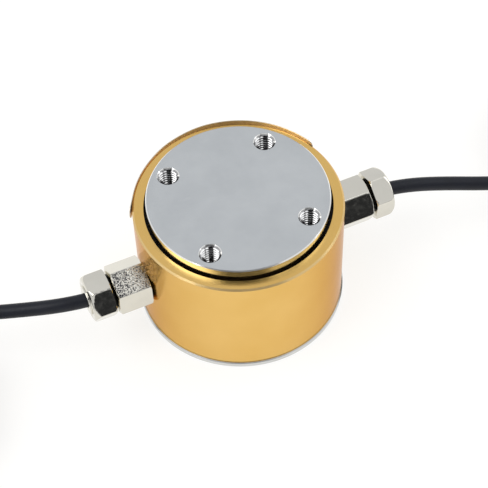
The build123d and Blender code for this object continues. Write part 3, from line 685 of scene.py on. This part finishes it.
def texture(tree, shader, gloss, span, roughness, height, depth):
    # The roughness follows one pattern, and the relief, with its depth in millimetres, another
    rough = addNode(tree, "MapRange", {
        "Value": gloss, "From Min": span[0], "From Max": span[1], "To Min": roughness[0],
        "To Max": roughness[1]})
    relief = addNode(tree, "Bump", {"Height": height, "Strength": 1.0, "Distance": depth * mm})
    feed(tree, shader, {"Roughness": rough, "Normal": relief})
    return rough, relief


def axisDistance(tree, spot, point, across):
    # Distance from the axis through a point, where across says which directions count
    away = addNode(tree, "VectorMath", {0: spot, 1: point}, operation="SUBTRACT")
    away = addNode(tree, "VectorMath", {0: away, 1: across}, operation="MULTIPLY")
    return addNode(tree, "VectorMath", {0: away}, operation="LENGTH")


def levelDistance(tree, way, level):
    # How far the Z of a place or a direction is from a level
    height = addNode(tree, "SeparateXYZ", {"Vector": way}).outputs["Z"]
    away = addNode(tree, "Math", {0: height, 1: level}, operation="SUBTRACT")
    return addNode(tree, "Math", {0: away}, operation="ABSOLUTE")


def edgeMask(tree):
    # 1 on chamfers and 0 elsewhere
    normal = addNode(tree, "NewGeometry").outputs["Normal"]
    return addNode(tree, "MapRange", {
        "Value": levelDistance(tree, normal, chamfer["slope"]), "From Min": chamfer["width"],
        "From Max": chamfer["width"] / 2}, interpolation_type="SMOOTHSTEP")


def turningMarks(tree, spot, pitch):
    # Fine rings round the sensor's axis: by radius on a flat face, by height on a round one
    radius = axisDistance(tree, spot, (0, 0, 0), flat)
    height = addNode(tree, "SeparateXYZ", {"Vector": spot}).outputs["Z"]
    rings = addNode(tree, "CombineXYZ", {"X": radius, "Z": height})
    return addNode(tree, "TexNoise", {"Vector": rings, "Scale": 1 / pitch, "Detail": 3.0, "Roughness": 0.7})


def straightMarks(tree, spot, angle, length, width, detail=2.0):
    # Noise drawn out along one direction of the XY plane, in millimetres
    turned = addNode(tree, "Mapping", {
        "Vector": spot, "Rotation": (0, 0, radians(angle)), "Scale": (1 / length, 1 / width, 1 / width)},
        vector_type="POINT")
    return addNode(tree, "TexNoise", {"Vector": turned, "Scale": 1.0, "Detail": detail, "Roughness": 0.6})


# A satin metal under a thin clear oxide, which turns paler and pinker towards the sides
goldAnodise = {
    "deep": "#dcb15c", "pale": "#e9c275", "edge": "#ecd9b0", "edgeShare": 0.35, "patchSize": 15.0,
    "tint": "#d9b69a", "ringPitch": 0.45, "ringDepth": 0.02, "ringShare": 0.4, "sideShare": 0.05,
    "sideSlope": 0.25, "rimSlope": 0.1, "smearSize": 3.0, "roughness": (0.2, 0.27), "coat": 0.3,
    "coatRoughness": 0.12, "coatIor": 1.6,
}


def makeGoldAnodise():
    spec = goldAnodise
    material, tree, shader, spot = startFinish("gold anodised aluminium turned", {
        "Metallic": 1.0, "Specular Tint": linear(spec["tint"]), "Coat Weight": spec["coat"],
        "Coat Roughness": spec["coatRoughness"], "Coat IOR": spec["coatIor"]})
    colour = twoShades(tree, spot, spec["deep"], spec["pale"], spec["patchSize"])[0]
    edge = addNode(tree, "Math", {0: edgeMask(tree), 1: spec["edgeShare"]}, operation="MULTIPLY")
    paint(tree, shader, colour, [(spec["edge"], edge)])
    rings = turningMarks(tree, spot, spec["ringPitch"])  # real tool marks are finer, drawn coarser to show
    smears = addNode(tree, "TexNoise", {"Vector": spot, "Scale": 1 / spec["smearSize"], "Detail": 3.0})
    gloss = addNode(tree, "Mix", {0: spec["ringShare"], 2: smears, 3: rings})
    # The rim was faced with a coarser feed than the outside, which was polished after turning
    normal = addNode(tree, "NewGeometry").outputs["Normal"]
    upright = addNode(tree, "MapRange", {
        "Value": levelDistance(tree, normal, 1.0), "From Min": spec["sideSlope"],
        "From Max": spec["rimSlope"], "To Min": spec["sideShare"]})
    height = addNode(tree, "Math", {0: rings, 1: upright}, operation="MULTIPLY")
    texture(tree, shader, gloss, noiseSpan, spec["roughness"], height, spec["ringDepth"])
    return material


# A near-mirror with faint clouds, a fine straight grain and a few hairline scratches
groundSteel = {
    "deep": "#b9bdbf", "pale": "#d5d8d9", "edge": "#f2f1ed", "cloudSize": 17.0, "roughness": (0.1, 0.2),
    "grain": {"angle": 24.0, "length": 7.0, "width": 0.16}, "grainDepth": 0.0002,
    "scratches": [
        {"angle": 58.0, "length": 9.0, "width": 0.22, "detail": 0.0},
        {"angle": -36.0, "length": 7.0, "width": 0.2, "detail": 0.0},
    ],
    "scratchCut": (0.8, 0.84), "scratchShade": "#dcdddd", "scratchShare": 0.3,
}


def makeGroundSteel():
    spec = groundSteel
    material, tree, shader, spot = startFinish("steel surface-ground", {"Metallic": 1.0})
    colour, clouds = twoShades(tree, spot, spec["deep"], spec["pale"], spec["cloudSize"], 5.0, 0.62)
    scratched = 0.0
    for scratch in spec["scratches"]:  # the thin tops of drawn-out noise, one direction after the other
        tops = addNode(tree, "MapRange", {
            "Value": straightMarks(tree, spot, **scratch), "From Min": spec["scratchCut"][0],
            "From Max": spec["scratchCut"][1]}, interpolation_type="SMOOTHSTEP")
        scratched = addNode(tree, "Math", {0: scratched, 1: tops}, operation="MAXIMUM")
    scratched = addNode(tree, "Math", {0: scratched, 1: spec["scratchShare"]}, operation="MULTIPLY")
    paint(tree, shader, colour, [(spec["scratchShade"], scratched), (spec["edge"], edgeMask(tree))])
    grain = straightMarks(tree, spot, **spec["grain"])  # grinding marks, wider than the real 0.02 mm to show
    texture(tree, shader, clouds, noiseSpan, spec["roughness"], grain, spec["grainDepth"])
    return material


# Bright cut crests over roots darkened with a painted shade. The painted shade stops short of the
# countersinks at both ends.
tappedSteel = {
    # root is a painted shade for the thread roots, and mouth gives the depths over which it fades in
    "root": "#141416", "crest": "#c8c8c6", "rootRadius": 2.82, "crestRadius": 2.68, "mouth": (0.6, 1.1),
    "stainSize": 0.8, "stain": "#8f8f92", "roughness": (0.07, 0.15), "depth": 0.004,
}


def makeTappedSteel():
    spec = tappedSteel
    material, tree, shader, spot = startFinish("steel tapped", {"Metallic": 1.0})
    colour, stains = twoShades(tree, spot, spec["crest"], spec["stain"], spec["stainSize"], 3.0)
    # The four holes mirror one another, so all distances are taken from one of them
    hole, middle = holeThread["spacing"] / 2, loadFace / 2
    mirrored = addNode(tree, "VectorMath", {0: spot}, operation="ABSOLUTE")
    # The painted shade fills the roots, between the crest and root radii, and fades in past the mouths
    deep = addNode(tree, "MapRange", {
        "Value": axisDistance(tree, mirrored, (hole, hole, 0), flat), "From Min": spec["crestRadius"],
        "From Max": spec["rootRadius"]}, interpolation_type="SMOOTHSTEP")
    inward = addNode(tree, "MapRange", {
        "Value": levelDistance(tree, spot, middle), "From Min": middle - spec["mouth"][0],
        "From Max": middle - spec["mouth"][1]})
    paintedShade = addNode(tree, "Math", {0: deep, 1: inward}, operation="MULTIPLY")
    paint(tree, shader, colour, [(spec["root"], paintedShade)])
    texture(tree, shader, stains, noiseSpan, spec["roughness"], stains, spec["depth"])
    return material


# A bright mirror over a machined facet. One facet is pitted, which breaks its reflection into specks,
# and a painted shade darkens the thread between body and nut.
nickelPlate = {
    "deep": "#d2cfc4", "pale": "#dfdcd2", "patchSize": 6.0, "roughness": (0.04, 0.1), "smearSize": 1.5,
    "smearSpan": (0.35, 0.65), "peelSize": 1.2, "peelDepth": 0.002, "pitSize": 0.42, "pitDepth": 0.08,
    "pitColour": "#3a3a42", "pitCut": (0.5, 0.42), "pittedNormal": (0.0, -0.454, 0.891),
    "pittedCut": (0.975, 0.99), "pittedPast": -29.0, "thinnerFrom": -40.0, "thinnerTo": -31.0,
    # The last four values give the painted shade on the neck thread: its colour, where it ends, its radii and
    # its roughness
    "thinning": 0.05, "neckShade": "#24231f", "neckShadeEnd": 42.2, "neckShadeRadius": (5.4, 5.1), "neckShadeRoughness": 0.5,
}


def makeNickelPlate():
    spec = nickelPlate
    material, tree, shader, spot = startFinish("bright nickel plate", {"Metallic": 1.0})
    colour = twoShades(tree, spot, spec["deep"], spec["pale"], spec["patchSize"])[0]
    smears = addNode(tree, "TexNoise", {"Vector": spot, "Scale": 1 / spec["smearSize"], "Detail": 3.0})
    peel = addNode(tree, "TexNoise", {"Vector": spot, "Scale": 1 / spec["peelSize"], "Detail": 2.0})
    rough, waves = texture(tree, shader, smears, spec["smearSpan"], spec["roughness"], peel,
                           spec["peelDepth"])
    # The painted shade lies near the gland's axis, and not beyond the nut's first turns
    near = addNode(tree, "MapRange", {
        "Value": axisDistance(tree, spot, (0, 0, gland["axisHeight"]), (0, 1, 1)),
        "From Min": spec["neckShadeRadius"][0], "From Max": spec["neckShadeRadius"][1]}, interpolation_type="SMOOTHSTEP")
    along = addNode(tree, "SeparateXYZ", {"Vector": spot}).outputs["X"]
    outward = addNode(tree, "Math", {0: along}, operation="ABSOLUTE")
    inside = addNode(tree, "Math", {0: outward, 1: spec["neckShadeEnd"]}, operation="LESS_THAN")
    paintedShade = addNode(tree, "Math", {0: near, 1: inside}, operation="MULTIPLY")
    rough = addNode(tree, "Mix", {0: paintedShade, 2: rough, 3: spec["neckShadeRoughness"]})
    # The pits are on the left body's upper front facet, and fewer of them near the sleeve
    normal = addNode(tree, "NewGeometry").outputs["Normal"]
    facing = addNode(tree, "VectorMath", {0: normal, 1: spec["pittedNormal"]}, operation="DOT_PRODUCT")
    facing = addNode(tree, "MapRange", {
        "Value": facing, "From Min": spec["pittedCut"][0], "From Max": spec["pittedCut"][1]},
        interpolation_type="SMOOTHSTEP")
    leftward = addNode(tree, "Math", {0: along, 1: spec["pittedPast"]}, operation="LESS_THAN")
    pitted = addNode(tree, "Math", {0: facing, 1: leftward}, operation="MULTIPLY")
    pits = addNode(tree, "TexNoise", {
        "Vector": spot, "Scale": 1 / spec["pitSize"], "Detail": 2.0, "Roughness": 0.7})
    crowd = addNode(tree, "MapRange", {
        "Value": along, "From Min": spec["thinnerFrom"], "From Max": spec["thinnerTo"],
        "To Min": -spec["thinning"], "To Max": spec["thinning"]})
    thinned = addNode(tree, "Math", {0: pits, 1: crowd}, operation="ADD")
    dirt = addNode(tree, "MapRange", {
        "Value": thinned, "From Min": spec["pitCut"][0], "From Max": spec["pitCut"][1]},
        interpolation_type="SMOOTHSTEP")
    dirt = addNode(tree, "Math", {0: dirt, 1: pitted}, operation="MULTIPLY")
    # The pits are darker, and the neck thread takes its painted shade
    paint(tree, shader, colour, [(spec["pitColour"], dirt), (spec["neckShade"], paintedShade)])
    height = addNode(tree, "Math", {0: pits, 1: pitted}, operation="MULTIPLY")
    relief = addNode(tree, "Bump", {
        "Height": height, "Strength": 1.0, "Distance": spec["pitDepth"] * mm, "Normal": waves})
    feed(tree, shader, {"Roughness": rough, "Normal": relief})
    return material


# Other metals, each with the marks of how it was made
metals = {
    "turned_steel": {  # fine rings that draw each highlight out round the axis
        "name": "steel turned", "deep": "#c6c7c6", "pale": "#dadad8", "patchSize": 8.0, "rings": 0.4,
        "depth": 0.002, "roughness": (0.14, 0.26)},
    "machined_steel": {  # a greyer, softer shine with a slanting grain
        "name": "steel milled and wire-cut", "deep": "#a5a6a5", "pale": "#bcbcb9", "patchSize": 5.0,
        "grain": {"angle": 45.0, "length": 3.0, "width": 0.3}, "depth": 0.006, "roughness": (0.24, 0.38)},
    "screw_steel": {  # dark grey with a dull, slightly ringed shine
        "name": "screw steel cold-headed", "deep": "#8f8f92", "pale": "#acadaf", "patchSize": 2.0,
        "rings": 0.3, "depth": 0.004, "roughness": (0.24, 0.4)},
    "clamp_brass": {  # a warm yellow shine in rings
        "name": "brass turned", "deep": "#b98f48", "pale": "#cfa862", "patchSize": 3.0, "rings": 0.25,
        "depth": 0.003, "roughness": (0.2, 0.32)},
    "strip_foil": {  # pale and warm, with rolling lines along it
        "name": "spring steel rolled bare", "deep": "#dccfbd", "pale": "#e9dfd0", "patchSize": 4.0,
        "grain": {"angle": 0.0, "length": 6.0, "width": 0.2}, "depth": 0.004, "roughness": (0.26, 0.38)},
    "tinned_copper": {  # silvery strands that twist round one another
        "name": "tinned copper stranded", "deep": "#b4b0a8", "pale": "#d5d2ca", "patchSize": 0.6,
        "grain": {"angle": 35.0, "length": 1.2, "width": 0.13}, "depth": 0.03, "roughness": (0.25, 0.4)},
}
marksShare = 0.5  # how much of a metal's gloss follows the marks, while the rest follows the patches


def makeMetal(spec):
    material, tree, shader, spot = startFinish(spec["name"], {"Metallic": 1.0})
    colour, patches = twoShades(tree, spot, spec["deep"], spec["pale"], spec["patchSize"])
    paint(tree, shader, colour)
    if "rings" in spec:
        marks = turningMarks(tree, spot, spec["rings"])
    else:
        marks = straightMarks(tree, spot, **spec["grain"])
    gloss = addNode(tree, "Mix", {0: marksShare, 2: patches, 3: marks})
    texture(tree, shader, gloss, noiseSpan, spec["roughness"], marks, spec["depth"])
    return material


# Plastics, rubber, ceramic and enamel: a fine grain, with scuffs or dust that catch the light
polymers = {
    "cable_jacket": {  # satin blue-black with paler scuffs
        "name": "polyurethane jacket extruded", "deep": "#090b12", "pale": "#131723", "patchSize": 5.0,
        "grain": 0.35, "depth": 0.012, "roughness": (0.36, 0.5), "specular": 0.3, "scuff": "#2e323d",
        "scuffSize": 1.6, "scuffCut": 0.66},
    "seal_rubber": {  # a dull black that dust greys
        "name": "nitrile rubber moulded", "deep": "#101012", "pale": "#1d1d20", "patchSize": 3.0,
        "grain": 0.3, "depth": 0.012, "roughness": (0.55, 0.75), "specular": 0.35, "scuff": "#36363a",
        "scuffSize": 0.8, "scuffCut": 0.7},
    "tie_nylon": {  # smooth black with a soft shine
        "name": "nylon moulded", "deep": "#121213", "pale": "#1e1e20", "patchSize": 3.0,
        "grain": 0.25, "depth": 0.008, "roughness": (0.4, 0.55), "specular": 0.5, "scuff": "#3a3a3c",
        "scuffSize": 1.0, "scuffCut": 0.68},
    "shrink_tubing": {  # black and glossier, with the dimples of its shrinking
        "name": "polyolefin tubing shrunk", "deep": "#0e0e10", "pale": "#1a1a1c", "patchSize": 2.0,
        "grain": 0.8, "depth": 0.03, "roughness": (0.3, 0.45), "specular": 0.5, "scuff": "#2c2c2f",
        "scuffSize": 1.2, "scuffCut": 0.68},
    "resistor_body": {  # dark grey, glassy and a little speckled
        "name": "thick-film ceramic fired", "deep": "#17181b", "pale": "#26272c", "patchSize": 0.7,
        "grain": 0.1, "depth": 0.004, "roughness": (0.35, 0.5), "specular": 0.5, "scuff": "#4a4b50",
        "scuffSize": 0.3, "scuffCut": 0.7},
    "wire_enamel": {  # glossy copper brown
        "name": "enamelled copper wire", "deep": "#7d3616", "pale": "#a8552a", "patchSize": 1.2,
        "grain": 0.2, "depth": 0.004, "roughness": (0.18, 0.32), "specular": 0.6, "scuff": "#c27a48",
        "scuffSize": 0.6, "scuffCut": 0.66},
}
coreShades = {  # clean bright colours with a plastic shine
    "red": ("#8f1a18", "#ab2a24"), "black": ("#121213", "#1f1f21"), "green": ("#19652c", "#278040"),
    "white": ("#cfcfca", "#e6e5e0"), "yellow": ("#c79a20", "#dfb437"), "blue": ("#1c3f8e", "#2b55a8"),
}
for colour, (deep, pale) in coreShades.items():
    polymers[f"core_{colour}_jacket"] = {
        "name": f"PVC insulation extruded {colour}", "deep": deep, "pale": pale, "patchSize": 1.5,
        "grain": 0.2, "depth": 0.005, "roughness": (0.32, 0.46), "specular": 0.5, "scuff": pale,
        "scuffSize": 0.5, "scuffCut": 0.66}
scuffSoft, scuffShare = 0.1, 0.5  # how softly a scuff begins, and how much of its shade shows


def makePolymer(spec):
    material, tree, shader, spot = startFinish(spec["name"], {"Specular IOR Level": spec["specular"]})
    colour = twoShades(tree, spot, spec["deep"], spec["pale"], spec["patchSize"])[0]
    dust = addNode(tree, "TexNoise", {
        "Vector": spot, "Scale": 1 / spec["scuffSize"], "Detail": 5.0, "Roughness": 0.7})
    scuffed = addNode(tree, "MapRange", {
        "Value": dust, "From Min": spec["scuffCut"], "From Max": spec["scuffCut"] + scuffSoft,
        "To Max": scuffShare}, interpolation_type="SMOOTHSTEP")
    paint(tree, shader, colour, [(spec["scuff"], scuffed)])
    grain = addNode(tree, "TexNoise", {"Vector": spot, "Scale": 1 / spec["grain"], "Detail": 2.0})
    texture(tree, shader, dust, noiseSpan, spec["roughness"], grain, spec["depth"])
    return material


# Green solder mask over woven glass, whose threads just show through it
boardLaminate = {
    "name": "glass-epoxy laminate lacquered", "deep": "#134a28", "pale": "#1f6a3a", "pitch": 0.5,
    "waver": 0.6, "directions": ("X", "Y"), "depth": 0.006, "roughness": (0.28, 0.42), "coat": 0.0,
}
# Amber film over the thin etched lines of the gauge's grid, with a clear gloss on top
gaugeFilm = {
    "name": "polyimide film laminated", "deep": "#b8742a", "pale": "#6f4a2a", "pitch": 0.2,
    "waver": 0.0, "directions": ("DIAGONAL",), "depth": 0.004, "roughness": (0.2, 0.32), "coat": 0.5,
}


def makeLined(spec):
    # A finish whose colour, gloss and relief all follow fine lines in one or two directions
    material, tree, shader, spot = startFinish(spec["name"], {"Coat Weight": spec["coat"]})
    lines = 1.0
    for direction in spec["directions"]:
        more = addNode(tree, "TexWave", {
            "Vector": spot, "Scale": 1 / (spec["pitch"] * pi), "Distortion": spec["waver"]},
            wave_type="BANDS", bands_direction=direction).outputs["Fac"]
        lines = addNode(tree, "Math", {0: lines, 1: more}, operation="MULTIPLY")
    colour = addNode(tree, "Mix", {
        0: lines, colourA: linear(spec["deep"]), colourB: linear(spec["pale"])}, data_type="RGBA")
    paint(tree, shader, colour)
    texture(tree, shader, lines, fullSpan, spec["roughness"], lines, spec["depth"])
    return material


finishes = {
    "gold_anodise": makeGoldAnodise(), "ground_steel": makeGroundSteel(), "nickel_plate": makeNickelPlate(),
    "board_laminate": makeLined(boardLaminate), "gauge_film": makeLined(gaugeFilm),
    "threads": makeTappedSteel(),
}
finishes.update({slot: makeMetal(spec) for slot, spec in metals.items()})
finishes.update({slot: makePolymer(spec) for slot, spec in polymers.items()})
for part in frame["record"]["subparts"]:
    for place in nodes[part["node"]].material_slots:
        place.material = finishes[part["material_slot"]]
for name, slot in newPieces.items():
    bpy.data.objects[name].data.materials.append(finishes[slot])
print("finishes given")
